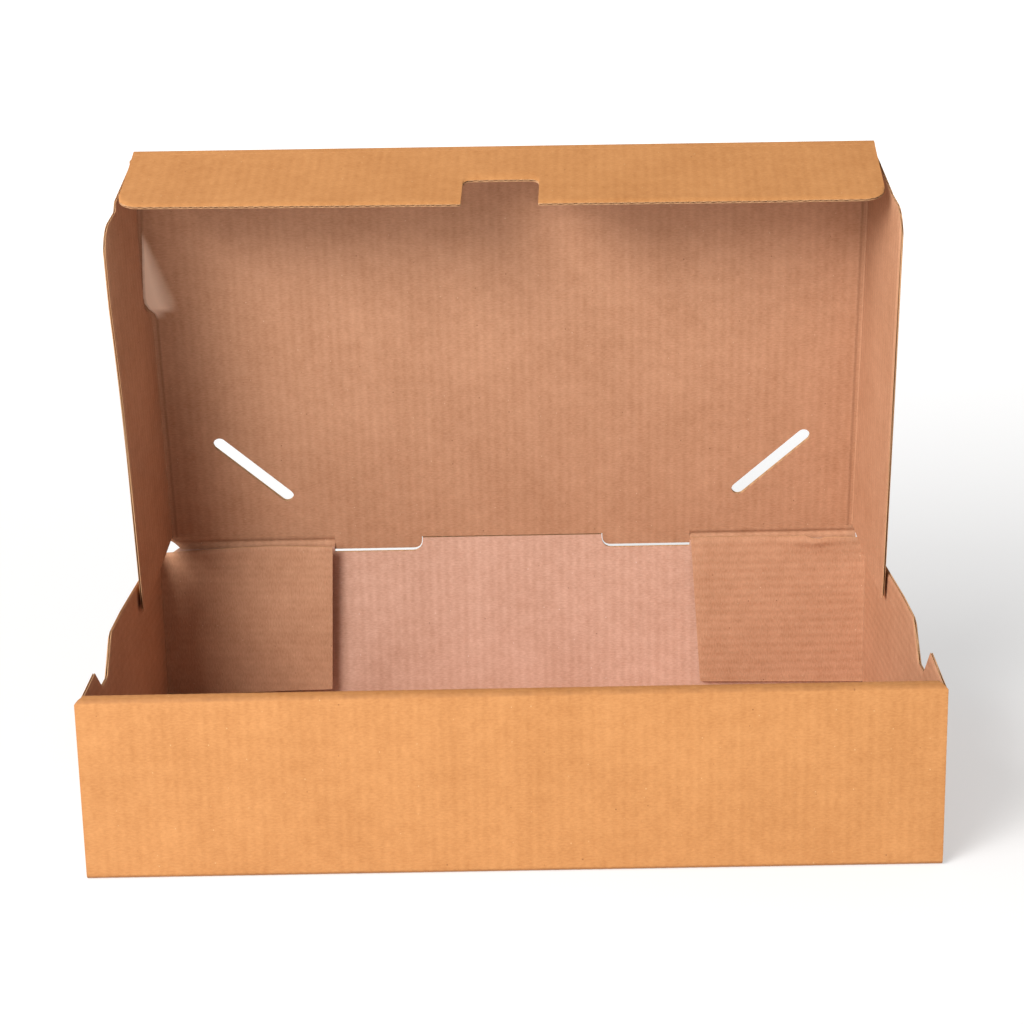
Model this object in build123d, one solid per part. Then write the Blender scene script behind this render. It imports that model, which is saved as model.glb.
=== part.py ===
"""Takeaway food box, die-cut from one sheet of thin corrugated board and folded up.

Millimetres, +Z up, +X to the right seen from the front, -Y towards the front.
The origin is the centre of the base's underside.  The tray has a front wall rolled
over to two layers, side walls with a thumb notch in their top edge, and dust flaps
folded in behind the front wall and in front of the back wall.  The lid stands open,
leaning over the tray, with a wing down each side and a tuck flap along its front.
"""

from build123d import *

import os
from math import asin, atan2, degrees, radians, tan

# Overall size of the folded tray
WIDTH = 280.0
DEPTH = 169.0
WALL_HEIGHT = 62.3
BOARD = 1.6

# Folds and running gaps
LAYER_GAP = 0.3
CREASE_GAP = 0.25
BEND_RADIUS = 1.4
CORNER_CHAMFER = 1.9

# Top edge of the side walls: positions from the front, heights from the wall height
SIDE_FRONT_DROP = 3.0
PEAK_FROM_FRONT = 30.0
PEAK_DROP = 0.6
NOTCH_FROM_FRONT = 40.5
NOTCH_FLOOR_WIDTH = 9.5
NOTCH_DEPTH = 9.8
NOTCH_BACK_RUN = 12.0
SHOULDER_RISE = 2.4
SIDE_CREST_FROM_FRONT = 84.0
SIDE_CREST_RISE = 3.3
SIDE_REAR_RISE = 2.6
NOTCH_RADIUS = 4.0
PEAK_RADIUS = 1.6
CREST_RADIUS = 24.0

# Dust flaps folded in at the corners
REAR_FLAP_LENGTH = 70.0
REAR_FLAP_TAPER = 3.8
REAR_FLAP_FLOOR_GAP = 6.0
REAR_FLAP_CORNER_RISE = 0.6
REAR_FLAP_CREST_LENGTH = 25.0
FRONT_FLAP_LENGTH = 68.0

# Tongues of the rolled front wall, locked into slots in the base
TONGUE_WIDTH = 24.0
TONGUE_SPACING = 130.0
TONGUE_GAP = 0.3

# Hinge line of the lid on the back wall
HINGE_RISE = 4.9
HINGE_TAB_WIDTH = 70.2
HINGE_TAB_RISE = 0.4
HINGE_TAB_FOOT = 3.7
CUT_OUTER = 69.6
LID_CUT_DROP = 3.8
TAB_SIDE_GAP = 0.3
TAB_TOP_GAP = 1.1

# Lid, its wings and its tuck flap
LID_LEAN = 15.0
LID_SIDE_GAP = 3.65
LID_TAPER = 2.65
LID_FRONT_GAP = 1.6
WING_DEPTH = 56.0
WING_FRONT_DEPTH = 53.0
WING_SIDE_GAP = 0.45
WING_REAR_GAP = 0.3
WING_TUCK_GAP = 0.4
WING_NOSE_RADIUS = 9.0
WING_STEP_DEPTH = 37.0
WING_STEP = 2.6
VENT_LENGTH = 38.0
VENT_WIDTH = 4.6
VENT_CENTRE_X = 99.4
VENT_CENTRE_RISE = 32.6
VENT_ANGLE = 42.9
TUCK_FOLD = 97.0
TUCK_HEIGHT = 43.2
TUCK_SIDE_INSET = 0.3
TUCK_TAPER = 1.2
TUCK_CORNER_RADIUS = 8.0
THUMB_WIDTH = 26.3
THUMB_DEPTH = 18.4
THUMB_RADIUS = 3.0
THUMB_LIP_RADIUS = 2.0

# Sizes that follow from the ones above
HALF_WIDTH = WIDTH / 2
HALF_DEPTH = DEPTH / 2
INNER_HALF_WIDTH = HALF_WIDTH - BOARD
FRONT_LAYERS = 3 * BOARD + 2 * LAYER_GAP
FRONT_INNER_Y = -HALF_DEPTH + FRONT_LAYERS
FRONT_FLAP_Y = -HALF_DEPTH + BOARD + LAYER_GAP
REAR_FLAP_BACK_Y = HALF_DEPTH - BOARD - LAYER_GAP
REAR_FLAP_FRONT_Y = REAR_FLAP_BACK_Y - BOARD
HINGE_Y = HALF_DEPTH - BOARD / 2
HINGE_Z = WALL_HEIGHT + HINGE_RISE
HINGE_STRIP_TOP = HINGE_Z - BOARD / 2 - CREASE_GAP
HINGE_STRIP_INNER = CUT_OUTER + TAB_SIDE_GAP
LID_HALF = INNER_HALF_WIDTH - LID_SIDE_GAP
LID_REACH = HINGE_Y - FRONT_INNER_Y - LID_FRONT_GAP
TUCK_AXIS = LID_REACH - BOARD / 2
LID_END = TUCK_AXIS - BOARD - CREASE_GAP
WING_REAR = HINGE_Y - REAR_FLAP_FRONT_Y + WING_REAR_GAP
WING_FLARE = degrees(asin((INNER_HALF_WIDTH - WING_SIDE_GAP - LID_HALF) / WING_DEPTH))
TAPER_ANGLE = degrees(atan2(LID_TAPER, LID_REACH))


def outline(points, radii):
    """Face inside a closed outline in the XY plane, each corner rounded by its radius."""
    return make_face(FilletPolyline(*points, radius=radii, close=True))


def prism(face, start, end):
    """Solid between two heights on the face's own upright axis."""
    return Pos(0, 0, start) * extrude(face, amount=end - start)


def upright_xz(solid):
    """Turn a solid drawn as X, Z with its thickness along Z so that it stands up."""
    return Rot(90, 0, 0) * solid


def upright_yz(solid):
    """Turn a solid drawn as Y, Z with its thickness along Z so that it faces X."""
    return Plane.YZ.location * solid


def block(x_range, y_range, z_range):
    """Solid box between two corners, given as three ranges."""
    size = [high - low for low, high in (x_range, y_range, z_range)]
    centre = [(high + low) / 2 for low, high in (x_range, y_range, z_range)]
    return Pos(*centre) * Box(*size)


def mirrored(solid):
    """The solid and its mirror image across the box's middle plane."""
    return [solid, solid.mirror(Plane.YZ)]


def back_wall():
    """Back wall with the hinge strips at its corners and the tab between the cuts."""
    tab = HINGE_TAB_WIDTH / 2
    tab_top = HINGE_Z + HINGE_TAB_RISE
    right = [
        (HALF_WIDTH, 0),
        (HALF_WIDTH, WALL_HEIGHT),
        (LID_HALF, WALL_HEIGHT),
        (LID_HALF, HINGE_STRIP_TOP),
        (HINGE_STRIP_INNER, HINGE_STRIP_TOP),
        (HINGE_STRIP_INNER, WALL_HEIGHT),
        (tab, WALL_HEIGHT),
        (tab, tab_top),
    ]
    right_radii = [0, BEND_RADIUS, 0, 0, 0, 0, HINGE_TAB_FOOT, 0]
    left = [(-x, z) for x, z in reversed(right)]
    sheet = outline(right + left, right_radii + right_radii[::-1])
    return upright_xz(prism(sheet, -HALF_DEPTH, -HALF_DEPTH + BOARD))


def front_outer_wall():
    """Outer layer of the front wall, its top corners cut off."""
    top = WALL_HEIGHT
    cut = CORNER_CHAMFER
    right = [(HALF_WIDTH, 0), (HALF_WIDTH, top - cut), (HALF_WIDTH - cut, top)]
    left = [(-x, z) for x, z in reversed(right)]
    sheet = outline(right + left, [0] * 6)
    return upright_xz(prism(sheet, HALF_DEPTH - BOARD, HALF_DEPTH))


def base():
    """Base with the two slots that take the rolled wall's tongues."""
    plate = block((-HALF_WIDTH, HALF_WIDTH), (-HALF_DEPTH, HALF_DEPTH), (0, BOARD))
    slot_half = TONGUE_WIDTH / 2 + TONGUE_GAP
    slot_y = (FRONT_INNER_Y - BOARD - TONGUE_GAP, FRONT_INNER_Y + TONGUE_GAP)
    for centre in (-TONGUE_SPACING / 2, TONGUE_SPACING / 2):
        plate -= block((centre - slot_half, centre + slot_half), slot_y, (-BOARD, 2 * BOARD))
    return plate


def rolled_front():
    """Top strip and inner layer of the front wall, with the tongues at its foot."""
    half = INNER_HALF_WIDTH - LAYER_GAP
    strip = block((-half, half), (-HALF_DEPTH, FRONT_INNER_Y), (WALL_HEIGHT - BOARD, WALL_HEIGHT))
    inner_y = (FRONT_INNER_Y - BOARD, FRONT_INNER_Y)
    roll = strip + block((-half, half), inner_y, (BOARD + LAYER_GAP, WALL_HEIGHT))
    for centre in (-TONGUE_SPACING / 2, TONGUE_SPACING / 2):
        tongue_x = (centre - TONGUE_WIDTH / 2, centre + TONGUE_WIDTH / 2)
        roll += block(tongue_x, inner_y, (LAYER_GAP, BOARD + 2 * LAYER_GAP))
    return roll


def side_wall():
    """Right side wall; its top edge runs down from a low peak into the thumb notch."""
    front = -HALF_DEPTH
    notch_start = front + NOTCH_FROM_FRONT
    notch_end = notch_start + NOTCH_FLOOR_WIDTH
    notch_floor = WALL_HEIGHT - NOTCH_DEPTH
    points = [
        (FRONT_FLAP_Y, BEND_RADIUS),
        (FRONT_FLAP_Y, WALL_HEIGHT - SIDE_FRONT_DROP),
        (front + PEAK_FROM_FRONT, WALL_HEIGHT - PEAK_DROP),
        (notch_start, notch_floor),
        (notch_end, notch_floor),
        (notch_end + NOTCH_BACK_RUN, WALL_HEIGHT + SHOULDER_RISE),
        (front + SIDE_CREST_FROM_FRONT, WALL_HEIGHT + SIDE_CREST_RISE),
        (REAR_FLAP_BACK_Y, WALL_HEIGHT + SIDE_REAR_RISE),
        (REAR_FLAP_BACK_Y, BEND_RADIUS),
    ]
    radii = [0, 0, PEAK_RADIUS, NOTCH_RADIUS, NOTCH_RADIUS, NOTCH_RADIUS, CREST_RADIUS, 0, 0]
    return upright_yz(prism(outline(points, radii), INNER_HALF_WIDTH, HALF_WIDTH))


def rear_dust_flap():
    """Right rear dust flap, glued in front of the back wall; its free end rises."""
    free = REAR_FLAP_LENGTH
    foot = BOARD + REAR_FLAP_FLOOR_GAP
    crest = HINGE_Z - BOARD / 2 - LAYER_GAP
    points = [
        (HALF_WIDTH, foot),
        (HALF_WIDTH, WALL_HEIGHT + REAR_FLAP_CORNER_RISE),
        (free + REAR_FLAP_CREST_LENGTH, crest),
        (free, crest),
        (free + REAR_FLAP_TAPER, foot),
    ]
    sheet = outline(points, [0, 0, REAR_FLAP_CREST_LENGTH, 0, BEND_RADIUS])
    return upright_xz(prism(sheet, -REAR_FLAP_BACK_Y, -REAR_FLAP_FRONT_Y))


def front_dust_flap():
    """Right front dust flap, held between the two layers of the front wall."""
    x_range = (HALF_WIDTH - FRONT_FLAP_LENGTH, HALF_WIDTH)
    z_range = (BOARD + LAYER_GAP, WALL_HEIGHT - SIDE_FRONT_DROP)
    return block(x_range, (FRONT_FLAP_Y, FRONT_FLAP_Y + BOARD), z_range)


def tray():
    """The folded tray: base, walls, rolled front and the four dust flaps."""
    shell = base() + back_wall() + front_outer_wall()
    foot_edges = shell.edges().group_by(Axis.Z)[0].filter_by(lambda edge: edge.length > DEPTH / 2)
    shell = fillet(foot_edges, BEND_RADIUS)
    corner = side_wall() + rear_dust_flap() + front_dust_flap()
    bends = corner.edges().filter_by(Axis.Z).filter_by_position(
        Axis.X, HALF_WIDTH - BOARD / 4, HALF_WIDTH + BOARD / 4
    )
    bends = bends.filter_by(lambda edge: edge.length > WALL_HEIGHT / 2)
    corner = fillet(bends, BEND_RADIUS)
    shell += rolled_front()
    rolls = shell.edges().filter_by(Axis.X).filter_by_position(
        Axis.Z, WALL_HEIGHT - BOARD / 4, WALL_HEIGHT + BOARD / 4
    )
    rolls = rolls.filter_by_position(Axis.Y, -HALF_DEPTH - 1, FRONT_INNER_Y + BOARD / 4)
    rolls = rolls.filter_by(lambda edge: edge.length > WIDTH / 2)
    shell = fillet(rolls, BEND_RADIUS)
    for part in mirrored(corner):
        shell += part
    return shell


def lid_panel():
    """Flat lid panel, drawn upright with the hinge axis along X through the origin."""
    tab = HINGE_TAB_WIDTH / 2 + TAB_SIDE_GAP
    top_half = LID_HALF - LID_TAPER
    right = [
        (top_half, LID_END - BOARD / 2),
        (LID_HALF, 0),
        (CUT_OUTER, 0),
        (CUT_OUTER, -LID_CUT_DROP),
        (tab, -LID_CUT_DROP),
        (tab, TAB_TOP_GAP),
    ]
    right_radii = [0, 0, 0, 0, HINGE_TAB_FOOT, 0]
    left = [(-x, z) for x, z in reversed(right)]
    sheet = outline(right + left, right_radii + right_radii[::-1])
    for side in (-1, 1):
        vent = SlotOverall(VENT_LENGTH, VENT_WIDTH, rotation=side * VENT_ANGLE)
        sheet -= Pos(side * VENT_CENTRE_X, VENT_CENTRE_RISE) * vent
    panel = upright_xz(prism(sheet, -BOARD / 2, BOARD / 2))
    panel += Pos(0, 0, LID_END - BOARD / 2) * Rot(0, 90, 0) * Cylinder(BOARD / 2, 2 * top_half)
    root_length = LID_HALF - CUT_OUTER
    root = Rot(0, 90, 0) * Cylinder(BOARD / 2, root_length)
    for part in mirrored(Pos(CUT_OUTER + root_length / 2, 0, 0) * root):
        panel += part
    return panel


def nose_reach(depth):
    """How far a wing's front edge may reach at a depth, just behind the folded tuck flap."""
    tuck_back = TUCK_AXIS - BOARD / 2 - WING_TUCK_GAP
    return tuck_back - depth * tan(radians(TUCK_FOLD - 90))


def wing():
    """Right wing, drawn flat with X away from the hinge and Y down from the lid."""
    step_reach = nose_reach(WING_STEP_DEPTH) - WING_STEP
    points = [
        (WING_REAR, 0),
        (LID_END - BOARD / 2, 0),
        (nose_reach(WING_STEP_DEPTH / 3), WING_STEP_DEPTH / 3),
        (nose_reach(WING_STEP_DEPTH - WING_STEP), WING_STEP_DEPTH - WING_STEP),
        (step_reach, WING_STEP_DEPTH),
        (step_reach, WING_FRONT_DEPTH),
        (WING_REAR, WING_DEPTH),
    ]
    radii = [0, 0, 0, WING_STEP / 2, WING_STEP / 2, WING_NOSE_RADIUS, 0]
    sheet = prism(outline(points, radii), -BOARD, 0)
    stand_up = Plane(origin=(0, BOARD / 2, 0), x_dir=(0, 0, 1), z_dir=(1, 0, 0)).location
    swing = Rot(0, -TAPER_ANGLE, 0) * Rot(0, 0, WING_FLARE)
    return Pos(LID_HALF, 0, 0) * swing * stand_up * sheet


def lean(solid):
    """Put a piece drawn upright at the hinge axis, leaning over the tray."""
    return Pos(0, HINGE_Y, HINGE_Z) * Rot(LID_LEAN, 0, 0) * solid


def lid():
    """Lid panel with its two wings, standing open."""
    sheet = lid_panel()
    for part in mirrored(wing()):
        sheet += part
    return lean(sheet)


def tuck_flap():
    """Front tuck flap with its thumb notch, folded over the lid's front crease."""
    half = LID_HALF - LID_TAPER - TUCK_SIDE_INSET
    free_half = half - TUCK_TAPER
    thumb = THUMB_WIDTH / 2
    right = [
        (half, 0),
        (free_half, TUCK_HEIGHT),
        (thumb, TUCK_HEIGHT),
        (thumb, TUCK_HEIGHT - THUMB_DEPTH),
    ]
    right_radii = [0, TUCK_CORNER_RADIUS, THUMB_LIP_RADIUS, THUMB_RADIUS]
    left = [(-x, z) for x, z in reversed(right)]
    sheet = outline(right + left, right_radii + right_radii[::-1])
    flap = upright_xz(prism(sheet, -BOARD / 2, BOARD / 2))
    flap += Rot(0, 90, 0) * Cylinder(BOARD / 2, 2 * half)
    return lean(Pos(0, 0, TUCK_AXIS) * Rot(TUCK_FOLD, 0, 0) * flap)


def main():
    """Write each piece to its own file."""
    os.makedirs("parts", exist_ok=True)
    pieces = {"tray": tray(), "lid": lid(), "tuck_flap": tuck_flap()}
    for name, solid in pieces.items():
        export_step(solid, f"parts/{name}.step")


main()
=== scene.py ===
"""Looks of a folded takeaway food box, made of thin fluted board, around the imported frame.

Every panel is drawn as real board: an outer liner, a fluted medium and an inner liner, each a
thin closed sheet.  A panel is a grid of two distances in millimetres, across its flutes and
along them, and a third one off its middle surface, which its own function turns to a place.
"""

import logging
import math
from dataclasses import dataclass
from enum import Enum
from typing import Callable, Sequence

import bpy
import numpy as np
from mathutils import Matrix, Vector

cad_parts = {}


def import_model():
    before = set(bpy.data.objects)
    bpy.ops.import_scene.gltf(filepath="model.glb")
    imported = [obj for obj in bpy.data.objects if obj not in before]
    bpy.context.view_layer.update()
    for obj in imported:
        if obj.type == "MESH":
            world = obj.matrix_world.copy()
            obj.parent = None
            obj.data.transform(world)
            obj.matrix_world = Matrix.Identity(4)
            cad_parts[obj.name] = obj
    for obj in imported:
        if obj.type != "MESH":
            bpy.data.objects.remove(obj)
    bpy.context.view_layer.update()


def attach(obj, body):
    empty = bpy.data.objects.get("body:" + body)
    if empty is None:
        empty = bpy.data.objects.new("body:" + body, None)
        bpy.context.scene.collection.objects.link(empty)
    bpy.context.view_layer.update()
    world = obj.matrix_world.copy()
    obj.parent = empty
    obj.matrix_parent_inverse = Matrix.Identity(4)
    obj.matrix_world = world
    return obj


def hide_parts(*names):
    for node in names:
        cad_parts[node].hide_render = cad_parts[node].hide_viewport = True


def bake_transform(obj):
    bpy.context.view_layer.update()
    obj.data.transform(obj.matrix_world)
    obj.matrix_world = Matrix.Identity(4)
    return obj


LOG = logging.getLogger("food_box")
MM = 0.001
BEND_STEPS = 6
SHARP_DEG = 50

# In millimetres: the gap between two steps that stand for one jump of an outline, how close any
# other step may come, the height below which a cell counts as gone, and the radius of a corner
# that is meant to be sharp.
JUMP = 0.01
NEAREST = 5 * JUMP
GONE = 1e-6
SHARP_RADIUS = 1e-4

# How far out from the blank's middle the side panels' marks start, in millimetres.
SIDE_BLANK = 400

Array = np.ndarray
Place = Callable[[Array, Array, Array], Array]
Limit = Callable[[Array], Array]
Pieces = list[bpy.types.Object]
Materials = Sequence[bpy.types.Material]
Socket = bpy.types.NodeSocket


class Face(Enum):
    """Which finish a face of the board takes: its material index."""

    OUTER = 0
    INNER = 1
    RAW = 2
    PALE = 3


class Side(Enum):
    """A side of the box: its sign along X."""

    LEFT = -1
    RIGHT = 1

    @property
    def word(self) -> str:
        """The side, as it stands in a piece's name."""
        return self.name.lower()


def bell(value: Array, centre: float, width: float) -> Array:
    """Bell curve: one at its centre, and one over e at its width from there."""
    return np.exp(-(((value - centre) / width) ** 2))


@dataclass(frozen=True)
class Flutes:
    """Make-up of the board, in millimetres."""

    pitch: float = 3.44
    thickness: float = 1.6
    liner: float = 0.22
    medium: float = 0.2
    sag: float = 0.035
    samples: int = 6
    crush: float = 0.5
    crush_reach: float = 0.8

    @property
    def half(self) -> float:
        """Half of the board's thickness."""
        return self.thickness / 2

    def rows_in(self, length: float) -> int:
        """How many rows of a grid show the flutes of a length of board."""
        return int(length / self.pitch * self.samples)

    def pressed(self, gap: Array) -> Array:
        """Share of the thickness left near a cut edge, where the die has pressed the board.

        It falls as a bell curve of the distance from the edge.

        Args:
            gap: Distance from the cut edge.

        Returns:
            The share, from one down to its least at the edge.
        """
        return 1 - self.crush * bell(gap, 0, self.crush_reach)

    def sheets(self, across: Array) -> list[tuple[Array, Array, Face, Face]]:
        """The three sheets of the board as pairs of heights off its middle surface.

        The flutes are a cosine, one at the tips that touch the outer liner.  Each liner sags
        by a cosine between the tips it is glued to, and the medium just meets both liners.

        Args:
            across: Distance across the flutes.

        Returns:
            For each sheet its upper height, lower height, and the finishes of both faces.
        """
        wave = np.cos(2 * np.pi * across / self.pitch)
        flat = np.zeros_like(wave)
        outer = self.half - self.sag * (1 - wave) / 2
        inner = -self.half + self.sag * (1 + wave) / 2
        swing = (self.half - self.liner - self.medium / 2 - self.sag / 4) * wave
        return [
            (outer, flat + self.half - self.liner - self.sag / 2, Face.OUTER, Face.RAW),
            (swing + self.medium / 2, swing - self.medium / 2, Face.RAW, Face.RAW),
            (flat - self.half + self.liner + self.sag / 2, inner, Face.RAW, Face.INNER),
        ]


FLUTES = Flutes()


@dataclass(frozen=True)
class BoxShape:
    """Driving sizes of the folded box in millimetres, as its solids have them."""

    width: float = 280.0
    depth: float = 169.0
    wall_height: float = 62.3
    layer_gap: float = 0.3
    bend: float = 1.2
    tight_bend: float = 0.95
    hinge_rise: float = 4.9
    tab_width: float = 70.2
    tab_rise: float = 0.4
    tab_foot: float = 3.7
    tab_gap: float = 0.3
    tab_top_gap: float = 1.1
    cut_outer: float = 69.6
    lid_cut_drop: float = 3.8
    lid_side_gap: float = 3.65
    lid_front_gap: float = 1.6
    lid_taper: float = 2.65
    lid_lean: float = 15.0
    crease_gap: float = 0.25
    crease_half: float = 1.6
    crease_clear: float = 0.05
    strip_chamfer: float = 5.0
    skew: float = 0.6

    @property
    def board(self) -> float:
        """Thickness of the board."""
        return FLUTES.thickness

    @property
    def half_width(self) -> float:
        """Half of the tray's width."""
        return self.width / 2

    @property
    def inner_half(self) -> float:
        """Half of the width between the side walls."""
        return self.half_width - self.board

    @property
    def wall_x(self) -> float:
        """Middle surface of a side wall."""
        return self.half_width - FLUTES.half

    @property
    def fold_x(self) -> float:
        """Where the base ends and a side wall's fold starts."""
        return self.wall_x - self.bend

    @property
    def wall_y(self) -> float:
        """Middle surface of the back wall, and less its sign of the front wall."""
        return self.depth / 2 - FLUTES.half

    @property
    def roll_y(self) -> float:
        """Middle surface of the front wall's inner layer."""
        return -self.wall_y + 2 * (self.board + self.layer_gap)

    @property
    def flap_y(self) -> float:
        """Middle surface of a rear dust flap, and less its sign of a front one."""
        return self.wall_y - self.board - self.layer_gap

    @property
    def fold_end(self) -> float:
        """Where a side wall's base fold stops, on both sides of the middle."""
        return self.flap_y - self.bend

    @property
    def hinge_z(self) -> float:
        """Height of the lid's crease."""
        return self.wall_height + self.hinge_rise

    @property
    def lid_half(self) -> float:
        """Half of the lid's width at its crease."""
        return self.inner_half - self.lid_side_gap

    @property
    def lid_reach(self) -> float:
        """Length of the lid from its crease to the outside of its front fold."""
        return self.wall_y - self.roll_y - FLUTES.half - self.lid_front_gap

    @property
    def tuck_axis(self) -> float:
        """Distance of the tuck flap's crease from the lid's crease."""
        return self.lid_reach - FLUTES.half

    @property
    def lid_end(self) -> float:
        """Where the lid's board stops, just before the tuck flap's crease."""
        return self.tuck_axis - self.board - self.crease_gap

    def chamfered(self, x: Array) -> Array:
        """How far the left strip's cut corner has come: nought, rising to one at its end."""
        return np.clip((-x - self.lid_half + self.strip_chamfer) / self.strip_chamfer, 0, 1)

    def lean(self, x: Array, off: Array, along: Array) -> Array:
        """Places a point of the lid: turned by the lean about the crease.

        The sprung lid is a little longer on the left, by the skew at its front corners.

        Args:
            x: Distance to the right.
            off: Distance off the lid's middle surface, to its outer side.
            along: Distance from the crease.

        Returns:
            Places in millimetres, in the last axis.
        """
        turn = math.radians(self.lid_lean)
        along = along - self.skew * x / self.lid_half * along / self.lid_reach
        y = self.wall_y + off * math.cos(turn) - along * math.sin(turn)
        z = self.hinge_z + off * math.sin(turn) + along * math.cos(turn)
        return np.stack([x, y, z], axis=-1)


BOX = BoxShape()


def bend_corners(
    corners: Sequence[tuple[float, float]], radii: Sequence[float]
) -> tuple[Array, Array]:
    """Replaces each inner corner of a flat path by an arc tangent to both of its runs.

    Along an arc the heading turns evenly, and a point lies one radius from the centre,
    square to the heading.

    Args:
        corners: The path's corners, its two ends among them.
        radii: A radius for each inner corner.

    Returns:
        Points of the path, and the unit normals to the left of its heading.
    """
    spots = np.array(corners, float)
    runs = np.diff(spots, axis=0)
    headings = np.arctan2(runs[:, 1], runs[:, 0])
    turns = (np.diff(headings) + np.pi) % (2 * np.pi) - np.pi
    share = np.linspace(0, 1, BEND_STEPS + 1)

    def left(heading: Array) -> Array:
        """Unit vector to the left of a heading."""
        return np.stack([-np.sin(heading), np.cos(heading)], axis=-1)

    points = [spots[:1]]
    normals = [left(headings[:1])]
    for corner, heading, turn, radius in zip(spots[1:-1], headings, turns, radii):
        ahead = np.array([math.cos(heading), math.sin(heading)])
        start = corner - ahead * radius * math.tan(abs(turn) / 2)
        centre = start + math.copysign(radius, turn) * left(np.array(heading))
        way = heading + share * turn
        points.append(centre - math.copysign(radius, turn) * left(way))
        normals.append(left(way))
    points.append(spots[-1:])
    normals.append(left(headings[-1:]))
    return np.concatenate(points), np.concatenate(normals)


class Fold:
    """Middle surface of folded board, seen end on: straight runs and round bends."""

    def __init__(
        self, corners: Sequence[tuple[float, float]], radii: Sequence[float], outward: int = 1
    ) -> None:
        """Lays out the path.

        Args:
            corners: The path's corners, its two ends among them.
            radii: A radius for each inner corner.
            outward: One where the board's outer side is left of the path, else minus one.
        """
        self.points, normals = bend_corners(corners, radii)
        self.normals = normals * outward
        steps = np.linalg.norm(np.diff(self.points, axis=0), axis=1)
        self.stops = np.concatenate([[0.0], np.cumsum(steps)])
        middles = 1 + np.arange(len(radii)) * (BEND_STEPS + 1) + BEND_STEPS // 2
        self.bends = self.stops[middles]

    @property
    def length(self) -> float:
        """Length of the whole path."""
        return float(self.stops[-1])

    def at(self, length: Array, off: Array) -> tuple[Array, Array]:
        """Where a point is: along the path, then off it on the normal.

        Args:
            length: Distance along the path.
            off: Distance to the outer side.

        Returns:
            The two coordinates in the plane of the path.
        """
        spot = [np.interp(length, self.stops, self.points[:, k]) for k in (0, 1)]
        normal = [np.interp(length, self.stops, self.normals[:, k]) for k in (0, 1)]
        return spot[0] + off * normal[0], spot[1] + off * normal[1]

    def along_x(self, a: Array, b: Array, off: Array) -> Array:
        """Carries the folded profile along X: the path lies in the plane of Y and Z.

        Args:
            a: Distance along X.
            b: Distance along the path.
            off: Distance to the outer side.

        Returns:
            Places in millimetres, in the last axis.
        """
        y, z = self.at(b, off)
        return np.stack([a, y, z], axis=-1)

    def rows(self, spacing: float) -> Array:
        """The path's own stops, with its long runs divided evenly.

        Args:
            spacing: Longest step in millimetres.

        Returns:
            Distances along the path.
        """
        ends = zip(self.stops, self.stops[1:])
        parts = np.maximum(1, np.ceil(np.diff(self.stops) / spacing)).astype(int)
        pieces = [np.linspace(a, b, n, endpoint=False) for (a, b), n in zip(ends, parts)]
        return np.concatenate([*pieces, self.stops[-1:]])


def edge_line(corners: Sequence[tuple[float, float]], radii: Sequence[float]) -> Limit:
    """A cut edge as a height over a distance: straight runs with rounded corners.

    Args:
        corners: Distance and height of each corner, with the distances rising.
        radii: A radius for each inner corner; zero keeps it sharp.

    Returns:
        A function that reads the height at any distance.
    """
    points, _ = bend_corners(corners, [max(radius, SHARP_RADIUS) for radius in radii])
    return lambda distance: np.interp(distance, points[:, 0], points[:, 1])


def mirrored(spots: Sequence[float]) -> list[float]:
    """The given distances on both sides of the middle."""
    return [side.value * spot for side in Side for spot in spots]


def flute_steps(low: float, high: float, jumps: Sequence[float] = ()) -> Array:
    """Even steps across the flutes, with a close pair of steps at each jump of the outline.

    Args:
        low: First position.
        high: Last position.
        jumps: Where the outline steps along a flute.

    Returns:
        Rising positions.
    """
    count = int(round((high - low) / FLUTES.pitch * FLUTES.samples))
    even = np.linspace(low, high, count + 1)
    if not len(jumps):
        return even
    apart = np.abs(even[:, None] - np.array(jumps)[None]).min(axis=1)
    pairs = np.add.outer(np.array(jumps), np.array([-JUMP / 2, JUMP / 2])).ravel()
    return np.sort(np.concatenate([even[apart > NEAREST], pairs]))


def cells_left(steps: Array, along: Array) -> Array:
    """Which cells of a grid have height left, after its rows were clipped to the edges.

    A cell stays while one of its sides has height.  Between the pair of steps of a jump it
    needs height on both.

    Args:
        steps: Positions across the flutes.
        along: Distances along the flutes, a row for each row of the grid.

    Returns:
        The cells that exist.
    """
    gone = np.diff(along, axis=0) < GONE
    left, right = gone[:, :-1], gone[:, 1:]
    return ~np.where(np.diff(steps) < 2 * JUMP, left | right, left & right)


def trimmed(steps: Array, rows: Array, low: Array, high: Array) -> tuple[Array, Array, Array]:
    """A grid whose rows stop at the panel's two edges: each is clipped between them.

    Args:
        steps: Positions across the flutes.
        rows: Distances along the flutes.
        low: Lower edge at each step.
        high: Upper edge at each step.

    Returns:
        Across, along and the cells that exist.
    """
    along = np.clip(rows[:, None], low[None], high[None])
    across = np.broadcast_to(steps[None], along.shape).copy()
    return across, along, cells_left(steps, along)


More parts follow.
